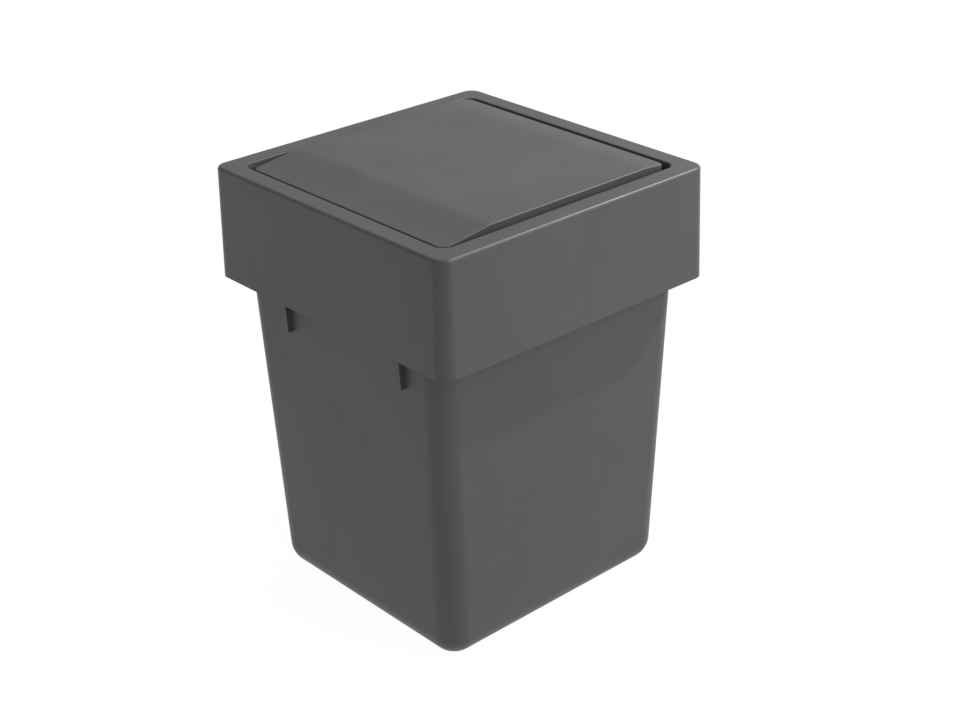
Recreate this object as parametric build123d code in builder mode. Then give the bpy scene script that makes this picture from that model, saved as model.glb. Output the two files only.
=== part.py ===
from build123d import *
import os

os.makedirs("parts", exist_ok=True)

# ---------------------------------------------------------------------------
# Door-mounted waste bin: a tapered bucket that hooks on a door bracket, with a
# square hood over its rim and a push-down swing lid in the hood.
# Origin: middle of the bracket's back face, on the door. +Y into the door,
# -Y towards the person who uses the bin, +Z up. Millimetres.
# ---------------------------------------------------------------------------

# placing of the bin in front of the door
bin_y = -128.5          # centre line of hood and lid
top_z = 140.0           # flat top face of the hood
bucket_dy = 1.18        # bucket centre line sits this much nearer the door

# hood
hood_top_half = 125.0
hood_low_half = 126.46
hood_height = 85.0
hood_corner_r = 10.0
hood_wall = 2.6
hood_top_t = 3.0
hood_edge_r = 2.5
opening_half = 109.5
opening_r = 8.5
lip_t = 2.2
lip_depth = 14.0
lip_edge_r = 1.2
rest_rib_t = 2.4

# bucket
bucket_hx = 108.65      # half width at the reference height below
bucket_hy = 117.17
bucket_ref = -75.0      # below the hood's top face
draft_x = 0.028120      # half width lost per mm of depth
draft_y = 0.036709
bucket_r_top = 16.0
bucket_r_low = 18.6
bucket_base = -330.38
base_r = 18.4
bucket_wall = 2.2
floor_t = 2.6
rim_z = -81.5
flange_t = 2.5
flange_half = 123.0

# liner ring
ring_in_x = 104.6
ring_in_y = 111.7
ring_skirt = 8.0

# gussets under the flange
gusset_x = (-55.6, 71.0)
gusset_t = 2.0

# lid
lid_half_x = 104.0
lid_front = -105.2
lid_rear = 104.3
lid_plateau = 2.75
lid_corner_r = 5.6
lid_bottom = -12.0
lid_wall = 2.2
panel_t = 1.8

# swing axle
axle_y = -10.0
axle_z = -8.0
axle_r = 2.5
axle_half = 119.6
bush_r = 3.8
hub_r = 4.0
hub_half = 108.9
run_gap = 0.05

# carrier frame under the hood's top
carrier_top = -17.0
carrier_t = 2.5
carrier_half = 121.4
carrier_in = 110.6
carrier_bolts = [(sx * 117.2, sy * 62.0) for sx in (-1, 1) for sy in (-1, 1)] + [
    (sx * 62.0, sy * 117.2) for sx in (-1, 1) for sy in (-1, 1)
]
lid_bolts = [(sx * 92.0, y) for sx in (-1, 1) for y in (-88.0, -28.0, 66.0)]
buffer_at = (95.4, 82.0)

# hook-in mount
bracket_half_x = 55.0
bracket_half_z = 35.0
bracket_t = 2.0
door_bolt_x = 42.0
door_bolt_z = 25.0
hook_top = 12.0
hanger_half_x = 40.0
hanger_face = -9.9      # face of the pad on the bucket's back
hanger_bolts = [(sx * 33.0, z) for sx in (-1, 1) for z in (36.0, -20.0)]

# lower door buffers
door_buffer_x = 62.0
door_buffer_z = -288.0


def zt(z):
    """Height in the frame from a height measured from the hood's top face."""
    return top_z + z


def bucket_half(z):
    return (
        bucket_hx + (z - bucket_ref) * draft_x,
        bucket_hy + (z - bucket_ref) * draft_y,
    )


bucket_low_half = bucket_half(bucket_base)
bucket_rim_half = bucket_half(rim_z)
bucket_y = bin_y + bucket_dy

# ------------------------------------------------- hollow of the bucket
with BuildPart() as hollow:
    for z, r in ((bucket_base + floor_t, bucket_r_low), (rim_z + 1.0, bucket_r_top)):
        hx, hy = bucket_half(z)
        with BuildSketch(Plane.XY.offset(zt(z))):
            with Locations((0, bucket_y)):
                RectangleRounded(2 * (hx - bucket_wall), 2 * (hy - bucket_wall), r - bucket_wall)
    loft(ruled=True)
    fillet(hollow.edges().group_by(Axis.Z)[0], radius=base_r - bucket_wall)

# ------------------------------------------------------------------ bucket
with BuildPart() as bucket:
    with BuildSketch(Plane.XY.offset(zt(bucket_base))):
        with Locations((0, bucket_y)):
            RectangleRounded(2 * bucket_low_half[0], 2 * bucket_low_half[1], bucket_r_low)
    with BuildSketch(Plane.XY.offset(zt(rim_z))):
        with Locations((0, bucket_y)):
            RectangleRounded(2 * bucket_rim_half[0], 2 * bucket_rim_half[1], bucket_r_top)
    loft(ruled=True)
    fillet(bucket.edges().group_by(Axis.Z)[0], radius=base_r)
    # flange that carries the hood
    with BuildSketch(Plane.XY.offset(zt(rim_z - flange_t))):
        with Locations((0, bin_y)):
            RectangleRounded(2 * flange_half, 2 * flange_half, 7.0)
    extrude(amount=flange_t)
    # gussets, front pair and the same pair turned half round at the back
    for side in (-1, 1):
        for gx in gusset_x:
            x = gx if side < 0 else -gx
            with BuildSketch(Plane(origin=(x - gusset_t / 2, bucket_y, 0), x_dir=(0, 1, 0), z_dir=(1, 0, 0))):
                with BuildLine():
                    Polyline(
                        (side * 114.4, zt(-83.0)),
                        (side * 122.0, zt(-83.0)),
                        (side * 121.1, zt(-92.0)),
                        (side * 120.1, zt(-111.0)),
                        (side * 119.6, zt(-111.6)),
                        (side * 114.6, zt(-111.6)),
                        close=True,
                    )
                make_face()
            extrude(amount=gusset_t)
    # flat pad for the hanger on the back wall
    with BuildSketch(Plane(origin=(0, hanger_face, 0), x_dir=(-1, 0, 0), z_dir=(0, 1, 0))):
        with Locations((0, 10.0)):
            RectangleRounded(2 * hanger_half_x + 8.0, 76.0, 5.0)
    extrude(amount=-3.6)
    # round pads for the door buffers
    with BuildSketch(Plane(origin=(0, bin_y + 112.0, 0), x_dir=(-1, 0, 0), z_dir=(0, 1, 0))):
        with Locations((-door_buffer_x, zt(door_buffer_z)), (door_buffer_x, zt(door_buffer_z))):
            Circle(10.5)
    extrude(amount=-3.0)
    # inside of the bucket
    add(hollow.part, mode=Mode.SUBTRACT)
    # shallow recess that leaves a standing rim under the base
    with BuildSketch(Plane.XY.offset(zt(bucket_base))):
        with Locations((0, bucket_y)):
            RectangleRounded(132.0, 144.0, 12.0)
    extrude(amount=1.0, mode=Mode.SUBTRACT)
    # screw bosses inside, behind the hanger
    with BuildSketch(Plane(origin=(0, hanger_face - 1.5, 0), x_dir=(-1, 0, 0), z_dir=(0, 1, 0))):
        with Locations(*hanger_bolts):
            Circle(5.0)
    extrude(amount=-7.5)
    with BuildSketch(Plane(origin=(0, hanger_face, 0), x_dir=(-1, 0, 0), z_dir=(0, 1, 0))):
        with Locations(*hanger_bolts):
            Circle(2.0 + run_gap)
    extrude(amount=-7.6, mode=Mode.SUBTRACT)
    # holes for the buffer stems
    with BuildSketch(Plane(origin=(0, bin_y + 113.0, 0), x_dir=(-1, 0, 0), z_dir=(0, 1, 0))):
        with Locations((-door_buffer_x, zt(door_buffer_z)), (door_buffer_x, zt(door_buffer_z))):
            Circle(2.5 + run_gap)
    extrude(amount=-10.0, mode=Mode.SUBTRACT)
bucket.part.label = "bucket"
export_step(bucket.part, "parts/bucket.step")

# -------------------------------------------------------------- liner ring
ring_y = bucket_y
with BuildPart() as liner_ring:
    with BuildSketch(Plane.XY.offset(zt(rim_z))):
        with Locations((0, ring_y)):
            RectangleRounded(221.0, 234.8, 15.0)
            RectangleRounded(2 * ring_in_x, 2 * ring_in_y, 13.0, mode=Mode.SUBTRACT)
    extrude(amount=2.0)
    with BuildSketch(Plane.XY.offset(zt(rim_z - ring_skirt))):
        with Locations((0, ring_y)):
            RectangleRounded(2 * ring_in_x + 2.2, 2 * ring_in_y + 4.0, 14.0)
            RectangleRounded(2 * ring_in_x, 2 * ring_in_y, 13.0, mode=Mode.SUBTRACT)
    extrude(amount=ring_skirt)
    # finger notches at the sides, to lift the ring by
    with BuildSketch(Plane.XY.offset(zt(rim_z - ring_skirt - 1.0))):
        with Locations((-105.0, ring_y), (105.0, ring_y)):
            Rectangle(8.0, 60.0)
    extrude(amount=6.5, mode=Mode.SUBTRACT)
    top_rim = liner_ring.edges().group_by(Axis.Z)[-1]
    fillet(top_rim, radius=0.7)
liner_ring.part.label = "liner_ring"
export_step(liner_ring.part, "parts/liner_ring.step")

# -------------------------------------------------------------- hood frame
with BuildPart() as hood_frame:
    with BuildSketch(Plane.XY.offset(zt(-hood_height))):
        with Locations((0, bin_y)):
            RectangleRounded(2 * hood_low_half, 2 * hood_low_half, hood_corner_r + 0.4)
    with BuildSketch(Plane.XY.offset(zt(0.0))):
        with Locations((0, bin_y)):
            RectangleRounded(2 * hood_top_half, 2 * hood_top_half, hood_corner_r)
    loft(ruled=True)
    fillet(hood_frame.edges().group_by(Axis.Z)[-1], radius=hood_edge_r)
    # hollow underside
    slope = (hood_low_half - hood_top_half) / hood_height
    for z in (-hood_height - 1.0, -hood_top_t):
        half = hood_top_half - slope * z - hood_wall
        with BuildSketch(Plane.XY.offset(zt(z))):
            with Locations((0, bin_y)):
                RectangleRounded(2 * half, 2 * half, hood_corner_r - hood_wall)
    loft(ruled=True, mode=Mode.SUBTRACT)
    # lip that runs down round the opening
    with BuildSketch(Plane.XY.offset(zt(-lip_depth))):
        with Locations((0, bin_y)):
            RectangleRounded(2 * (opening_half + lip_t), 2 * (opening_half + lip_t), opening_r + lip_t)
    extrude(amount=lip_depth - hood_top_t + 0.5)
    # bosses for the carrier screws
    with BuildSketch(Plane.XY.offset(zt(carrier_top))):
        with Locations((0, bin_y)):
            with Locations(*carrier_bolts):
                Circle(3.6)
    extrude(amount=-carrier_top - hood_top_t + 0.5)
    # ribs that stand on the bucket's flange
    with BuildSketch(Plane.XY.offset(zt(rim_z))):
        with Locations((0, bin_y)):
            with Locations(*[(sx * 119.75, y) for sx in (-1, 1) for y in (-95.0, -32.0, 32.0, 95.0)]):
                Rectangle(8.5, rest_rib_t)
            with Locations(*[(x, sy * 121.7) for sy in (-1, 1) for x in (-95.0, -32.0, 32.0, 95.0)]):
                Rectangle(rest_rib_t, 4.6)
    extrude(amount=57.0)
    # the opening
    with BuildSketch(Plane.XY.offset(zt(-lip_depth - 1.0))):
        with Locations((0, bin_y)):
            RectangleRounded(2 * opening_half, 2 * opening_half, opening_r)
    extrude(amount=lip_depth + 3.0, mode=Mode.SUBTRACT)
    edge_ring = (
        hood_frame.edges()
        .filter_by_position(Axis.Z, zt(-0.01), zt(0.01))
        .filter_by(lambda e: abs(e.center().X) < opening_half + 1 and abs(e.center().Y - bin_y) < opening_half + 1)
    )
    fillet(edge_ring, radius=lip_edge_r)
    # windows for the bearing housings
    with BuildSketch(Plane.XY.offset(zt(-lip_depth - 0.5))):
        with Locations((-111.2, bin_y + axle_y), (111.2, bin_y + axle_y)):
            Rectangle(3.4, 20.0)
    extrude(amount=lip_depth + 0.5 - hood_top_t, mode=Mode.SUBTRACT)
    # screw holes in the bosses
    with BuildSketch(Plane.XY.offset(zt(carrier_top))):
        with Locations((0, bin_y)):
            with Locations(*carrier_bolts):
                Circle(1.5 + run_gap)
    extrude(amount=11.5, mode=Mode.SUBTRACT)
hood_frame.part.label = "hood_frame"
export_step(hood_frame.part, "parts/hood_frame.step")

# ------------------------------------------------------------- lid carrier
with BuildPart() as lid_carrier:
    with BuildSketch(Plane.XY.offset(zt(carrier_top - carrier_t))):
        with Locations((0, bin_y)):
            RectangleRounded(2 * carrier_half, 2 * carrier_half, 5.5)
            RectangleRounded(2 * carrier_in, 2 * carrier_in, 4.0, mode=Mode.SUBTRACT)
            with Locations((-buffer_at[0] - 5.6, buffer_at[1]), (buffer_at[0] + 5.6, buffer_at[1])):
                RectangleRounded(24.0, 16.0, 2.5)
    extrude(amount=carrier_t)
    # stiffening wall round the outside
    with BuildSketch(Plane.XY.offset(zt(carrier_top - carrier_t - 4.0))):
        with Locations((0, bin_y)):
            RectangleRounded(226.4, 226.4, 5.0)
            RectangleRounded(222.4, 222.4, 4.0, mode=Mode.SUBTRACT)
    extrude(amount=4.0)
    # bearing housings
    with BuildSketch(Plane.XY.offset(zt(carrier_top - carrier_t))):
        with Locations((-114.2, bin_y + axle_y), (114.2, bin_y + axle_y)):
            Rectangle(7.2, 18.0)
    extrude(amount=carrier_t - carrier_top - 3.2)
    with BuildSketch(Plane(origin=(-130, bin_y + axle_y, zt(axle_z)), x_dir=(0, 1, 0), z_dir=(1, 0, 0))):
        Circle(bush_r + run_gap)
    extrude(amount=260.0, mode=Mode.SUBTRACT)
    with BuildSketch(Plane.XY.offset(zt(carrier_top - carrier_t))):
        with Locations((0, bin_y)):
            with Locations(*carrier_bolts):
                Circle(1.7)
            with Locations((-buffer_at[0], buffer_at[1]), (buffer_at[0], buffer_at[1])):
                Circle(2.0 + run_gap)
    extrude(amount=carrier_t, mode=Mode.SUBTRACT)
lid_carrier.part.label = "lid_carrier"
export_step(lid_carrier.part, "parts/lid_carrier.step")

# ---------------------------------------------------------- carrier screws
with BuildPart() as carrier_screws:
    with BuildSketch(Plane.XY.offset(zt(carrier_top - carrier_t - 2.0))):
        with Locations((0, bin_y)):
            with Locations(*carrier_bolts):
                Circle(3.0)
    extrude(amount=2.0)
    fillet(carrier_screws.edges().group_by(Axis.Z)[0], radius=0.8)
    with BuildSketch(Plane.XY.offset(zt(carrier_top - carrier_t))):
        with Locations((0, bin_y)):
            with Locations(*carrier_bolts):
                Circle(1.5)
    extrude(amount=12.0)
    with BuildSketch(Plane.XY.offset(zt(carrier_top - carrier_t - 2.0))):
        with Locations((0, bin_y)):
            with Locations(*carrier_bolts):
                Rectangle(3.4, 0.7)
                Rectangle(0.7, 3.4)
    extrude(amount=1.1, mode=Mode.SUBTRACT)
carrier_screws.part.label = "carrier_screws"
export_step(carrier_screws.part, "parts/carrier_screws.step")

# ------------------------------------------------------------------- lid
side = Plane(origin=(-lid_half_x, bin_y, 0), x_dir=(0, 1, 0), z_dir=(1, 0, 0))
with BuildPart() as lid_shell:
    with BuildSketch(side):
        with BuildLine():
            ramp = Spline(
                (lid_front, zt(-2.25)),
                (-96.5, zt(-1.60)),
                (-88.0, zt(-0.60)),
                (-80.5, zt(0.45)),
                (-73.2, zt(1.52)),
                tangents=[(1.0, 0.05), (1.0, 0.15)],
            )
            ridge = Spline(ramp @ 1, (-67.0, zt(2.38)), (-61.8, zt(lid_plateau)), tangents=[ramp % 1, (1.0, 0.0)])
            flat = Line(ridge @ 1, (80.0, zt(lid_plateau)))
            roll = Spline(
                flat @ 1,
                (88.8, zt(2.42)),
                (94.1, zt(1.86)),
                (98.4, zt(1.32)),
                (lid_rear, zt(0.62)),
                tangents=[(1.0, 0.0), (1.0, -0.11)],
            )
            Polyline(roll @ 1, (lid_rear, zt(lid_bottom)), (lid_front, zt(lid_bottom)), ramp @ 0)
        make_face()
    extrude(amount=2 * lid_half_x)
    uprights = lid_shell.edges().filter_by(Axis.Z)
    fillet(uprights.group_by(Axis.Y)[0], radius=lid_corner_r)
    fillet(lid_shell.edges().filter_by(Axis.Z).group_by(Axis.Y)[-1], radius=lid_corner_r)
    fillet(
        lid_shell.edges().filter_by(lambda e: e.bounding_box().min.Z > zt(-2.6)).filter_by(
            lambda e: e.length > 1.0 and not (abs(e.tangent_at(0.5).X) > 0.99 and -103.5 < e.center().Y - bin_y < 103.5)
        ),
        radius=0.9,
    )
    # hollow
    with BuildSketch(Plane(origin=(-lid_half_x + lid_wall, bin_y, 0), x_dir=(0, 1, 0), z_dir=(1, 0, 0))):
        with BuildLine():
            Polyline(
                (lid_front + lid_wall, zt(lid_bottom - 1.0)),
                (lid_front + lid_wall, zt(-4.45)),
                (-88.0, zt(-3.05)),
                (-72.0, zt(-0.85)),
                (-62.0, zt(lid_plateau - lid_wall)),
                (80.0, zt(lid_plateau - lid_wall)),
                (90.0, zt(-0.25)),
                (lid_rear - lid_wall, zt(-1.75)),
                (lid_rear - lid_wall, zt(lid_bottom - 1.0)),
                close=True,
            )
        make_face()
    extrude(amount=2 * (lid_half_x - lid_wall), mode=Mode.SUBTRACT)
    # axle saddles
    with BuildSketch(Plane.XY.offset(zt(-9.9))):
        with Locations(*[(x, bin_y + axle_y) for x in (-100.0, -64.0, 0.0, 64.0, 100.0)]):
            Rectangle(4.0, 12.0)
    extrude(amount=10.9)
    # saddles for the counterweight
    with BuildSketch(Plane.XY.offset(zt(-9.9))):
        with Locations(*[(x, bin_y + 87.0) for x in (-85.0, -30.0, 30.0, 85.0)]):
            Rectangle(2.6, 14.0)
    extrude(amount=9.9)
    with BuildSketch(Plane.XY.offset(zt(-10.0))):
        with Locations(*[(x, bin_y + 87.0) for x in (-85.0, -30.0, 30.0, 85.0)]):
            Rectangle(3.0, 6.1)
    extrude(amount=6.55, mode=Mode.SUBTRACT)
    # stiffening ribs across the lid
    with BuildSketch(Plane.XY.offset(zt(-4.0))):
        with Locations((0, bin_y - 58.0), (0, bin_y + 38.0)):
            Rectangle(2 * (lid_half_x - lid_wall) + 1.0, 1.8)
    extrude(amount=5.0)
    # screw bosses
    with BuildSketch(Plane.XY.offset(zt(lid_bottom + 2.0))):
        with Locations((0, bin_y)):
            with Locations(*[p for p in lid_bolts if p[1] > -60]):
                Circle(3.6)
    extrude(amount=11.0)
    with BuildSketch(Plane.XY.offset(zt(lid_bottom + 2.0))):
        with Locations((0, bin_y)):
            with Locations(*[p for p in lid_bolts if p[1] < -60]):
                Circle(3.6)
    extrude(amount=8.0)
    with BuildSketch(Plane.XY.offset(zt(lid_bottom + 2.0))):
        with Locations((0, bin_y)):
            with Locations(*lid_bolts):
                Circle(1.5 + run_gap)
    extrude(amount=7.0, mode=Mode.SUBTRACT)
    # hubs that keep the lid midway between the bushes
    with BuildSketch(Plane(origin=(-hub_half, bin_y + axle_y, zt(axle_z)), x_dir=(0, 1, 0), z_dir=(1, 0, 0))):
        Circle(hub_r)
    extrude(amount=hub_half - lid_half_x + 0.5)
    with BuildSketch(Plane(origin=(hub_half, bin_y + axle_y, zt(axle_z)), x_dir=(0, 1, 0), z_dir=(-1, 0, 0))):
        Circle(hub_r)
    extrude(amount=hub_half - lid_half_x + 0.5)
    with BuildSketch(Plane(origin=(-130, bin_y + axle_y, zt(axle_z)), x_dir=(0, 1, 0), z_dir=(1, 0, 0))):
        Circle(axle_r + 0.02)
    extrude(amount=260.0, mode=Mode.SUBTRACT)
lid_shell.part.label = "lid_shell"
export_step(lid_shell.part, "parts/lid_shell.step")

# ---------------------------------------------------------- lid inner panel
with BuildPart() as lid_panel:
    with BuildSketch(Plane.XY.offset(zt(lid_bottom + 0.2))):
        with Locations((0, bin_y + (lid_front + lid_rear) / 2)):
            RectangleRounded(2 * (lid_half_x - lid_wall) - 0.6, lid_rear - lid_front - 2 * lid_wall - 0.6, 2.8)
        with Locations((0, bin_y)):
            with Locations(*lid_bolts):
                Circle(1.7, mode=Mode.SUBTRACT)
    extrude(amount=panel_t)
    # groove under the axle
    with BuildSketch(Plane.XY.offset(zt(-10.7))):
        with Locations((0, bin_y + axle_y)):
            Rectangle(2 * lid_half_x, 5.6)
    extrude(amount=1.0, mode=Mode.SUBTRACT)
lid_panel.part.label = "lid_panel"
export_step(lid_panel.part, "parts/lid_panel.step")

# --------------------------------------------------------------- lid screws
with BuildPart() as lid_screws:
    with BuildSketch(Plane.XY.offset(zt(lid_bottom + 0.2 - 1.8))):
        with Locations((0, bin_y)):
            with Locations(*lid_bolts):
                Circle(2.9)
    extrude(amount=1.8)
    fillet(lid_screws.edges().group_by(Axis.Z)[0], radius=0.7)
    with BuildSketch(Plane.XY.offset(zt(lid_bottom + 0.2))):
        with Locations((0, bin_y)):
            with Locations(*lid_bolts):
                Circle(1.5)
    extrude(amount=8.0)
    with BuildSketch(Plane.XY.offset(zt(lid_bottom + 0.2 - 1.8))):
        with Locations((0, bin_y)):
            with Locations(*lid_bolts):
                Rectangle(3.2, 0.7)
                Rectangle(0.7, 3.2)
    extrude(amount=1.0, mode=Mode.SUBTRACT)
lid_screws.part.label = "lid_screws"
export_step(lid_screws.part, "parts/lid_screws.step")

# ----------------------------------------------------------- swing axle
across = Plane(origin=(-axle_half, bin_y + axle_y, zt(axle_z)), x_dir=(0, 1, 0), z_dir=(1, 0, 0))
with BuildPart() as lid_axle:
    with BuildSketch(across):
        Circle(axle_r)
    extrude(amount=2 * axle_half)
    chamfer(lid_axle.edges().filter_by(GeomType.CIRCLE), length=0.5)
lid_axle.part.label = "lid_axle"
export_step(lid_axle.part, "parts/lid_axle.step")

with BuildPart() as axle_bush_left:
    with BuildSketch(Plane(origin=(-118.0, bin_y + axle_y, zt(axle_z)), x_dir=(0, 1, 0), z_dir=(1, 0, 0))):
        Circle(bush_r)
    extrude(amount=7.6)
    with BuildSketch(Plane(origin=(-110.4, bin_y + axle_y, zt(axle_z)), x_dir=(0, 1, 0), z_dir=(1, 0, 0))):
        Circle(4.7)
    extrude(amount=1.1)
    with BuildSketch(Plane(origin=(-119.0, bin_y + axle_y, zt(axle_z)), x_dir=(0, 1, 0), z_dir=(1, 0, 0))):
        Circle(axle_r + run_gap)
    extrude(amount=12.0, mode=Mode.SUBTRACT)
axle_bush_left.part.label = "axle_bush_left"
export_step(axle_bush_left.part, "parts/axle_bush_left.step")

with BuildPart() as axle_bush_right:
    with BuildSketch(Plane(origin=(118.0, bin_y + axle_y, zt(axle_z)), x_dir=(0, 1, 0), z_dir=(-1, 0, 0))):
        Circle(bush_r)
    extrude(amount=7.6)
    with BuildSketch(Plane(origin=(110.4, bin_y + axle_y, zt(axle_z)), x_dir=(0, 1, 0), z_dir=(-1, 0, 0))):
        Circle(4.7)
    extrude(amount=1.1)
    with BuildSketch(Plane(origin=(119.0, bin_y + axle_y, zt(axle_z)), x_dir=(0, 1, 0), z_dir=(-1, 0, 0))):
        Circle(axle_r + run_gap)
    extrude(amount=12.0, mode=Mode.SUBTRACT)
axle_bush_right.part.label = "axle_bush_right"
export_step(axle_bush_right.part, "parts/axle_bush_right.step")

# push-on caps that keep the axle from sliding out of the bushes
with BuildPart() as axle_caps:
    for s in (-1, 1):
        with BuildSketch(Plane(origin=(s * 118.2, bin_y + axle_y, zt(axle_z)), x_dir=(0, 1, 0), z_dir=(s, 0, 0))):
            Circle(4.5)
            Circle(axle_r + 0.02, mode=Mode.SUBTRACT)
        extrude(amount=1.0)
axle_caps.part.label = "axle_caps"
export_step(axle_caps.part, "parts/axle_caps.step")

# steel bar that swings the lid shut
with BuildPart() as counterweight:
    with BuildSketch(Plane.XY.offset(zt(-9.6))):
        with Locations((0, bin_y + 87.0)):
            RectangleRounded(190.0, 6.0, 1.0)
    extrude(amount=6.0)
counterweight.part.label = "counterweight"
export_step(counterweight.part, "parts/counterweight.step")

# ----------------------------------------------------------- lid buffers
for name, sx in (("lid_buffer_left", -1), ("lid_buffer_right", 1)):
    with BuildPart() as lid_buffer:
        with BuildSketch(Plane.XY.offset(zt(carrier_top))):
            with Locations((sx * buffer_at[0], bin_y + buffer_at[1])):
                Circle(4.5)
        extrude(amount=lid_bottom + 0.2 - carrier_top)
        fillet(lid_buffer.edges().group_by(Axis.Z)[-1], radius=0.8)
        with BuildSketch(Plane.XY.offset(zt(carrier_top - carrier_t - 0.1))):
            with Locations((sx * buffer_at[0], bin_y + buffer_at[1])):
                Circle(2.0)
        extrude(amount=carrier_t + 0.1)
        with BuildSketch(Plane.XY.offset(zt(carrier_top - carrier_t - 1.9))):
            with Locations((sx * buffer_at[0], bin_y + buffer_at[1])):
                Circle(3.0)
        extrude(amount=1.9)
        fillet(lid_buffer.edges().group_by(Axis.Z)[0], radius=0.8)
    lid_buffer.part.label = name
    export_step(lid_buffer.part, "parts/" + name + ".step")

# -------------------------------------------------------- hanger on bucket
with BuildPart() as hanger_plate:
    with BuildSketch(Plane(origin=(0, hanger_face, 0), x_dir=(-1, 0, 0), z_dir=(0, 1, 0))):
        with Locations((0, 10.0)):
            RectangleRounded(2 * hanger_half_x, 70.0, 4.0)
        with Locations(*hanger_bolts):
            Circle(2.2, mode=Mode.SUBTRACT)
    extrude(amount=bracket_t)
    # hook: out over the bracket's lip and down behind it
    with BuildSketch(Plane(origin=(-20.0, 0, 0), x_dir=(0, 1, 0), z_dir=(1, 0, 0))):
        with BuildLine():
            Polyline(
                (hanger_face + 1.0, hook_top),
                (-4.5, hook_top),
                (-4.5, -6.0),
                (-2.5, -6.0),
                (-2.5, hook_top + 2.0),
                (hanger_face + 1.0, hook_top + 2.0),
                close=True,
            )
        make_face()
    extrude(amount=40.0)
    bend = hanger_plate.edges().filter_by(Axis.X).filter_by_position(Axis.Z, hook_top + 1.9, hook_top + 2.1)
    fillet(bend.sort_by(Axis.Y)[-1], radius=1.6)
    tip = hanger_plate.edges().filter_by(Axis.Y).filter_by_position(Axis.Z, -6.1, -5.9)
    fillet(tip, radius=4.0)
hanger_plate.part.label = "hanger_plate"
export_step(hanger_plate.part, "parts/hanger_plate.step")

with BuildPart() as hanger_screws:
    with BuildSketch(Plane(origin=(0, hanger_face + bracket_t, 0), x_dir=(-1, 0, 0), z_dir=(0, 1, 0))):
        with Locations(*hanger_bolts):
            Circle(3.9)
    extrude(amount=2.3)
    fillet(hanger_screws.edges().group_by(Axis.Y)[-1], radius=1.0)
    with BuildSketch(Plane(origin=(0, hanger_face + bracket_t, 0), x_dir=(-1, 0, 0), z_dir=(0, 1, 0))):
        with Locations(*hanger_bolts):
            Circle(2.0)
    extrude(amount=-9.0)
    with BuildSketch(Plane(origin=(0, hanger_face + bracket_t + 2.3, 0), x_dir=(-1, 0, 0), z_dir=(0, 1, 0))):
        with Locations(*hanger_bolts):
            Rectangle(4.4, 0.9)
            Rectangle(0.9, 4.4)
    extrude(amount=-1.3, mode=Mode.SUBTRACT)
hanger_screws.part.label = "hanger_screws"
export_step(hanger_screws.part, "parts/hanger_screws.step")

# ------------------------------------------------------------ door bracket
with BuildPart() as door_bracket:
    with BuildSketch(Plane(origin=(0, 0, 0), x_dir=(-1, 0, 0), z_dir=(0, 1, 0))):
        RectangleRounded(2 * bracket_half_x, 2 * bracket_half_z, 6.0)
        with GridLocations(2 * door_bolt_x, 2 * door_bolt_z, 2, 2):
            Circle(2.25, mode=Mode.SUBTRACT)
    extrude(amount=-bracket_t)
    # lip that carries the hook
    with BuildSketch(Plane(origin=(-24.0, 0, 0), x_dir=(0, 1, 0), z_dir=(1, 0, 0))):
        with BuildLine():
            Polyline(
                (-1.0, -12.0),
                (-7.0, -12.0),
                (-7.0, hook_top),
                (-5.0, hook_top),
                (-5.0, -10.0),
                (-1.0, -10.0),
                close=True,
            )
        make_face()
    extrude(amount=48.0)
    heel = door_bracket.edges().filter_by(Axis.X).filter_by_position(Axis.Y, -7.01, -6.99)
    fillet(heel.sort_by(Axis.Z)[0], radius=1.6)
    corner = door_bracket.edges().filter_by(Axis.Y).filter_by_position(Axis.Z, hook_top - 0.1, hook_top + 0.1)
    fillet(corner, radius=4.0)
    # folded side edges
    for sx in (-1, 1):
        with BuildSketch(Plane(origin=(sx * (bracket_half_x - 1.0), -2.5, 0), x_dir=(1, 0, 0), z_dir=(0, 0, 1)).offset(-28.0)):
            Rectangle(2.0, 5.0)
        extrude(amount=56.0)
door_bracket.part.label = "door_bracket"
export_step(door_bracket.part, "parts/door_bracket.step")

with BuildPart() as door_screws:
    with BuildSketch(Plane(origin=(0, -bracket_t, 0), x_dir=(-1, 0, 0), z_dir=(0, 1, 0))):
        with GridLocations(2 * door_bolt_x, 2 * door_bolt_z, 2, 2):
            Circle(4.0)
    extrude(amount=-2.2)
    fillet(door_screws.edges().group_by(Axis.Y)[0], radius=1.0)
    # neck in the bracket's hole, then the shank in the door
    with BuildSketch(Plane(origin=(0, -bracket_t, 0), x_dir=(-1, 0, 0), z_dir=(0, 1, 0))):
        with GridLocations(2 * door_bolt_x, 2 * door_bolt_z, 2, 2):
            Circle(2.1)
    extrude(amount=bracket_t - 0.05)
    with BuildSketch(Plane(origin=(0, -0.05, 0), x_dir=(-1, 0, 0), z_dir=(0, 1, 0))):
        with GridLocations(2 * door_bolt_x, 2 * door_bolt_z, 2, 2):
            Circle(2.0)
    extrude(amount=14.05)
    chamfer(door_screws.edges().group_by(Axis.Y)[-1], length=3.2, length2=1.6)
    with BuildSketch(Plane(origin=(0, -bracket_t - 2.2, 0), x_dir=(-1, 0, 0), z_dir=(0, 1, 0))):
        with GridLocations(2 * door_bolt_x, 2 * door_bolt_z, 2, 2):
            Rectangle(4.4, 0.9)
            Rectangle(0.9, 4.4)
    extrude(amount=1.3, mode=Mode.SUBTRACT)
door_screws.part.label = "door_screws"
export_step(door_screws.part, "parts/door_screws.step")

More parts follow.
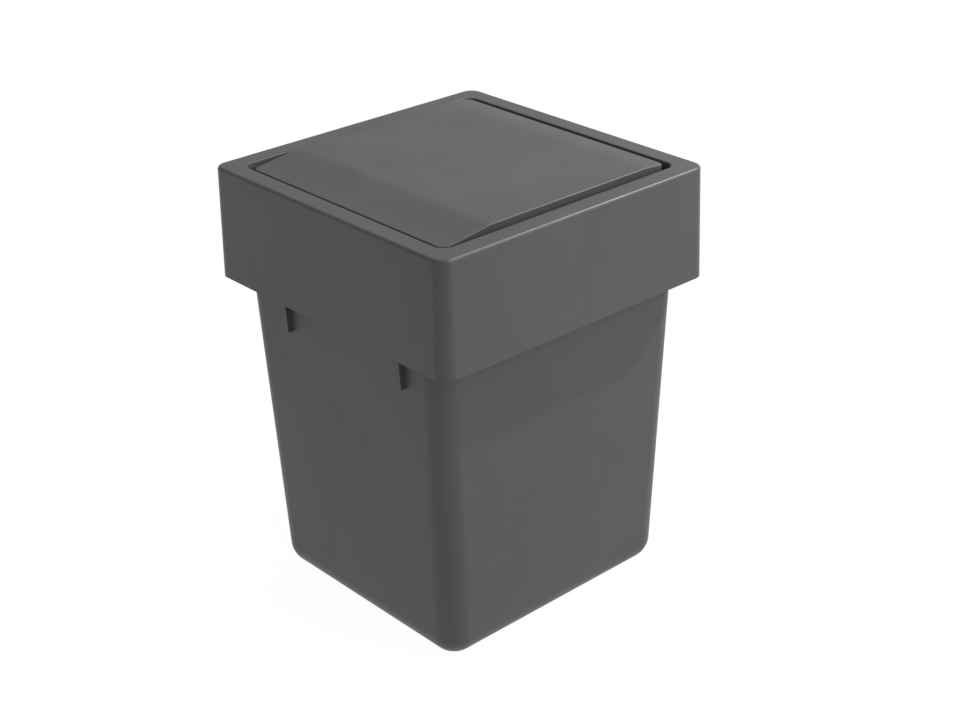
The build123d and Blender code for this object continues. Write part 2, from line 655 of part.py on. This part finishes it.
# ------------------------------------------------- buffers against the door
for name, sx in (("door_buffer_left", -1), ("door_buffer_right", 1)):
    with BuildPart() as door_buffer:
        with BuildSketch(Plane(origin=(sx * door_buffer_x, bin_y + 112.0, zt(door_buffer_z)), x_dir=(-1, 0, 0), z_dir=(0, 1, 0))):
            Circle(9.0)
        with BuildSketch(Plane(origin=(sx * door_buffer_x, 0.0, zt(door_buffer_z)), x_dir=(-1, 0, 0), z_dir=(0, 1, 0))):
            Circle(7.6)
        loft()
        fillet(door_buffer.edges().group_by(Axis.Y)[-1], radius=1.8)
        with BuildSketch(Plane(origin=(sx * door_buffer_x, bin_y + 112.0, zt(door_buffer_z)), x_dir=(-1, 0, 0), z_dir=(0, 1, 0))):
            Circle(2.5)
        extrude(amount=-5.0)
        with BuildSketch(Plane(origin=(sx * door_buffer_x, bin_y + 107.9, zt(door_buffer_z)), x_dir=(-1, 0, 0), z_dir=(0, 1, 0))):
            Circle(4.0)
        extrude(amount=-2.2)
        fillet(door_buffer.edges().group_by(Axis.Y)[0], radius=1.2)
    door_buffer.part.label = name
    export_step(door_buffer.part, "parts/" + name + ".step")
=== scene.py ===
import math

import bmesh
import bpy
from mathutils import Matrix, Vector


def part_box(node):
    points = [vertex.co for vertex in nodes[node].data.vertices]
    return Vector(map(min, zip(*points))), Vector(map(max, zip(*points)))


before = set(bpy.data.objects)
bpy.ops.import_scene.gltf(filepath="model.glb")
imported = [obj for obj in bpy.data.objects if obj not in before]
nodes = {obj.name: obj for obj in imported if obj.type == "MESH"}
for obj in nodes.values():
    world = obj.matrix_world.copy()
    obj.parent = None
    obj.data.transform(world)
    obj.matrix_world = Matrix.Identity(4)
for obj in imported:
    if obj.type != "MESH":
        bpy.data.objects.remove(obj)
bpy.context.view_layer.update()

scene = bpy.context.scene
scene.view_settings.view_transform = "Standard"
scene.view_settings.look = "None"

FLOOR_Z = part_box("bucket")[0].z


# ------------------------------------------------------------------ materials
def new_material(name):
    m = bpy.data.materials.new(name)
    m.use_nodes = True
    nt = m.node_tree
    nt.nodes.clear()
    out = nt.nodes.new("ShaderNodeOutputMaterial")
    b = nt.nodes.new("ShaderNodeBsdfPrincipled")
    nt.links.new(b.outputs["BSDF"], out.inputs["Surface"])
    return m, nt, b


def coords(nt):
    return nt.nodes.new("ShaderNodeTexCoord").outputs["Object"]


def noise(nt, vec, scale, detail=2.0, rough=0.5, stretch=None):
    if stretch is not None:
        mp = nt.nodes.new("ShaderNodeMapping")
        mp.inputs["Scale"].default_value = stretch
        nt.links.new(vec, mp.inputs["Vector"])
        vec = mp.outputs["Vector"]
    n = nt.nodes.new("ShaderNodeTexNoise")
    n.inputs["Scale"].default_value = scale
    n.inputs["Detail"].default_value = detail
    n.inputs["Roughness"].default_value = rough
    nt.links.new(vec, n.inputs["Vector"])
    return n.outputs["Fac"]


def ramp(nt, fac, stops):
    r = nt.nodes.new("ShaderNodeValToRGB")
    e = r.color_ramp.elements
    while len(e) < len(stops):
        e.new(0.5)
    for k, (p, c) in enumerate(stops):
        e[k].position = p
        e[k].color = (c[0], c[1], c[2], 1.0) if isinstance(c, tuple) else (c, c, c, 1.0)
    nt.links.new(fac, r.inputs["Fac"])
    return r.outputs["Color"]


def map_range(nt, fac, lo, hi, a=0.0, b=1.0):
    r = nt.nodes.new("ShaderNodeMapRange")
    r.inputs["From Min"].default_value = a
    r.inputs["From Max"].default_value = b
    r.inputs["To Min"].default_value = lo
    r.inputs["To Max"].default_value = hi
    nt.links.new(fac, r.inputs["Value"])
    return r.outputs["Result"]


def bump(nt, height, strength, distance, normal=None):
    b = nt.nodes.new("ShaderNodeBump")
    b.inputs["Strength"].default_value = strength
    b.inputs["Distance"].default_value = distance
    nt.links.new(height, b.inputs["Height"])
    if normal is not None:
        nt.links.new(normal, b.inputs["Normal"])
    return b.outputs["Normal"]


def moulded(name, base, rough=0.5, grain=0.5, specular=0.22, mottle=0.05):
    """Moulded plastic with a spark-eroded grain, faint flow mottle and handling marks."""
    m, nt, b = new_material(name)
    v = coords(nt)
    cloud = noise(nt, v, 9.0, 3.0, 0.55)
    lo = tuple(c * (1 - mottle) for c in base)
    hi = tuple(c * (1 + mottle) for c in base)
    tint = ramp(nt, cloud, [(0.3, lo), (0.7, hi)])
    speck = noise(nt, v, 1400.0, 2.0, 0.6)
    mix = nt.nodes.new("ShaderNodeMix")
    mix.data_type = "RGBA"
    mix.blend_type = "MULTIPLY"
    mix.inputs["Factor"].default_value = 1.0
    nt.links.new(tint, mix.inputs["A"])
    nt.links.new(ramp(nt, speck, [(0.3, 0.965), (0.7, 1.0)]), mix.inputs["B"])
    nt.links.new(mix.outputs["Result"], b.inputs["Base Color"])
    wipe = noise(nt, v, 26.0, 4.0, 0.6, stretch=(1.0, 1.0, 0.35))
    nt.links.new(map_range(nt, wipe, rough - 0.035, rough + 0.035, 0.3, 0.7), b.inputs["Roughness"])
    b.inputs["Specular IOR Level"].default_value = specular
    fine = noise(nt, v, 2300.0, 2.0, 0.55)
    coarse = noise(nt, v, 700.0, 2.0, 0.5)
    n1 = bump(nt, coarse, 0.35 * grain, 0.00006)
    n2 = bump(nt, fine, 0.5 * grain, 0.00003, n1)
    nt.links.new(n2, b.inputs["Normal"])
    return m


def plated(name, base, rough=0.3, metallic=1.0, brushed=(1.0, 1.0, 14.0)):
    """Zinc plate or drawn steel: faint spangle, fine lines, dulled patches."""
    m, nt, b = new_material(name)
    v = coords(nt)
    patch = noise(nt, v, 60.0, 3.0, 0.6)
    nt.links.new(
        ramp(nt, patch, [(0.3, tuple(c * 0.86 for c in base)), (0.7, tuple(min(c * 1.08, 1.0) for c in base))]),
        b.inputs["Base Color"],
    )
    b.inputs["Metallic"].default_value = metallic
    lines = noise(nt, v, 420.0, 2.0, 0.6, stretch=brushed)
    nt.links.new(map_range(nt, patch, rough - 0.07, rough + 0.12, 0.25, 0.75), b.inputs["Roughness"])
    nt.links.new(bump(nt, lines, 0.25, 0.00003), b.inputs["Normal"])
    return m


def threaded(name, base, pitch, start):
    """Plated screw whose thread begins at the height start along Y."""
    m, nt, b = new_material(name)
    v = coords(nt)
    patch = noise(nt, v, 60.0, 3.0, 0.6)
    nt.links.new(
        ramp(nt, patch, [(0.3, tuple(c * 0.86 for c in base)), (0.7, tuple(min(c * 1.08, 1.0) for c in base))]),
        b.inputs["Base Color"],
    )
    b.inputs["Metallic"].default_value = 1.0
    nt.links.new(map_range(nt, patch, 0.26, 0.44, 0.25, 0.75), b.inputs["Roughness"])
    wave = nt.nodes.new("ShaderNodeTexWave")
    wave.wave_type = "BANDS"
    wave.bands_direction = "Y"
    wave.wave_profile = "TRI"
    wave.inputs["Scale"].default_value = 2.0 * math.pi / (20.0 * pitch)
    nt.links.new(v, wave.inputs["Vector"])
    part = nt.nodes.new("ShaderNodeSeparateXYZ")
    nt.links.new(v, part.inputs["Vector"])
    cut = nt.nodes.new("ShaderNodeMath")
    cut.operation = "MULTIPLY"
    nt.links.new(wave.outputs["Fac"], cut.inputs[0])
    nt.links.new(map_range(nt, part.outputs["Y"], 0.0, 1.0, start, start + 0.0003), cut.inputs[1])
    fine = bump(nt, noise(nt, v, 900.0, 2.0, 0.6), 0.2, 0.00002)
    nt.links.new(bump(nt, cut.outputs["Value"], 0.9, 0.0005, fine), b.inputs["Normal"])
    return m


def rubber(name):
    m, nt, b = new_material(name)
    v = coords(nt)
    dust = noise(nt, v, 90.0, 4.0, 0.65)
    nt.links.new(ramp(nt, dust, [(0.35, (0.018, 0.018, 0.018)), (0.75, (0.042, 0.041, 0.04))]), b.inputs["Base Color"])
    nt.links.new(map_range(nt, dust, 0.68, 0.86), b.inputs["Roughness"])
    b.inputs["Specular IOR Level"].default_value = 0.35
    nt.links.new(bump(nt, noise(nt, v, 1500.0, 2.0, 0.5), 0.4, 0.00005), b.inputs["Normal"])
    return m


ANTHRACITE = (0.0532, 0.0505, 0.0516)
mat_bucket = moulded("anthracite_bucket", ANTHRACITE, rough=0.44, grain=0.45)
mat_hood = moulded("anthracite_hood", ANTHRACITE, rough=0.42, grain=0.45)
mat_lid = moulded("anthracite_lid", ANTHRACITE, rough=0.42, grain=0.4)
mat_inner = moulded("dark_inner_plastic", (0.045, 0.043, 0.045), rough=0.55, grain=0.3)
mat_ring = moulded("grey_ring_plastic", (0.22, 0.22, 0.225), rough=0.45, grain=0.35)
mat_bush = moulded("natural_bush_plastic", (0.7, 0.68, 0.62), rough=0.4, grain=0.2)
mat_zinc = plated("zinc_plate", (0.62, 0.63, 0.645), rough=0.32)
mat_thread = threaded("zinc_thread", (0.62, 0.63, 0.645), 0.0016, 0.0)
mat_steel = plated("drawn_steel", (0.55, 0.55, 0.56), rough=0.26, brushed=(0.2, 6.0, 6.0))
mat_rubber = rubber("black_rubber")

FINISH = {
    "bucket": mat_bucket,
    "liner_ring": mat_ring,
    "hood_frame": mat_hood,
    "lid_carrier": mat_inner,
    "carrier_screws": mat_zinc,
    "lid_shell": mat_lid,
    "lid_panel": mat_inner,
    "lid_screws": mat_zinc,
    "lid_axle": mat_steel,
    "axle_bush_left": mat_bush,
    "axle_bush_right": mat_bush,
    "axle_caps": mat_steel,
    "counterweight": mat_steel,
    "lid_buffer_left": mat_rubber,
    "lid_buffer_right": mat_rubber,
    "hanger_plate": mat_zinc,
    "hanger_screws": mat_zinc,
    "door_bracket": mat_zinc,
    "door_screws": mat_thread,
    "door_buffer_left": mat_rubber,
    "door_buffer_right": mat_rubber,
}
for name, obj in nodes.items():
    if not obj.material_slots:
        obj.data.materials.append(FINISH[name])
    for s in obj.material_slots:
        s.material = FINISH[name]


# ---------------------------------------------------------------------- floor
def plane(name, size, z, mat):
    me = bpy.data.meshes.new(name)
    me.from_pydata([(-size, -size, z), (size, -size, z), (size, size, z), (-size, size, z)], [], [(0, 1, 2, 3)])
    o = bpy.data.objects.new(name, me)
    scene.collection.objects.link(o)
    me.materials.append(mat)
    return o


m_floor, nt_f, b_f = new_material("pale_floor")
b_f.inputs["Base Color"].default_value = (0.05, 0.05, 0.05, 1.0)
b_f.inputs["Roughness"].default_value = 0.95
b_f.inputs["Specular IOR Level"].default_value = 0.0
b_f.inputs["Emission Color"].default_value = (1.0, 1.0, 1.0, 1.0)
b_f.inputs["Emission Strength"].default_value = 0.965
floor = plane("floor", 14.0, FLOOR_Z - 0.0002, m_floor)

# --------------------------------------------------------------------- lights
world = bpy.data.worlds.new("soft_studio")
world.use_nodes = True
bg = world.node_tree.nodes["Background"]
bg.inputs["Color"].default_value = (1.0, 1.0, 1.0, 1.0)
bg.inputs["Strength"].default_value = 0.74
scene.world = world


def aim(o, target):
    d = Vector(target) - o.location
    o.rotation_euler = d.to_track_quat("-Z", "Y").to_euler()


def disk(name, where, target, size, energy):
    light = bpy.data.lights.new(name, "AREA")
    light.shape = "DISK"
    light.size = size
    light.energy = energy
    o = bpy.data.objects.new(name, light)
    scene.collection.objects.link(o)
    o.location = Vector(where)
    aim(o, target)


LID_MIDDLE = (0.0, -0.1285, 0.14)
disk("key", (0.341, 0.5405, 0.80), LID_MIDDLE, 0.03, 12.2)
disk("fill", (1.6, 0.6, 0.9), LID_MIDDLE, 1.2, 25.0)

# --------------------------------------------------------------------- camera
cam = bpy.data.cameras.new("camera")
cam.sensor_fit = "HORIZONTAL"
cam.sensor_width = 36.0
cam.lens = 67.2045
cam.shift_x = -0.04703
cam.shift_y = 0.0
cam.clip_start = 0.05
cam.clip_end = 60.0
cam_o = bpy.data.objects.new("camera", cam)
scene.collection.objects.link(cam_o)
right = Vector((0.68579789, 0.72770999, -0.0109279))
up = Vector((-0.31778688, 0.31292471, 0.8950361))
back = Vector((0.65474632, -0.61034113, 0.4458598))
place = Matrix((right, up, back)).transposed().to_4x4()
place.translation = Vector((0.914415, -0.917806, 0.585078))
cam_o.matrix_world = place
scene.camera = cam_o
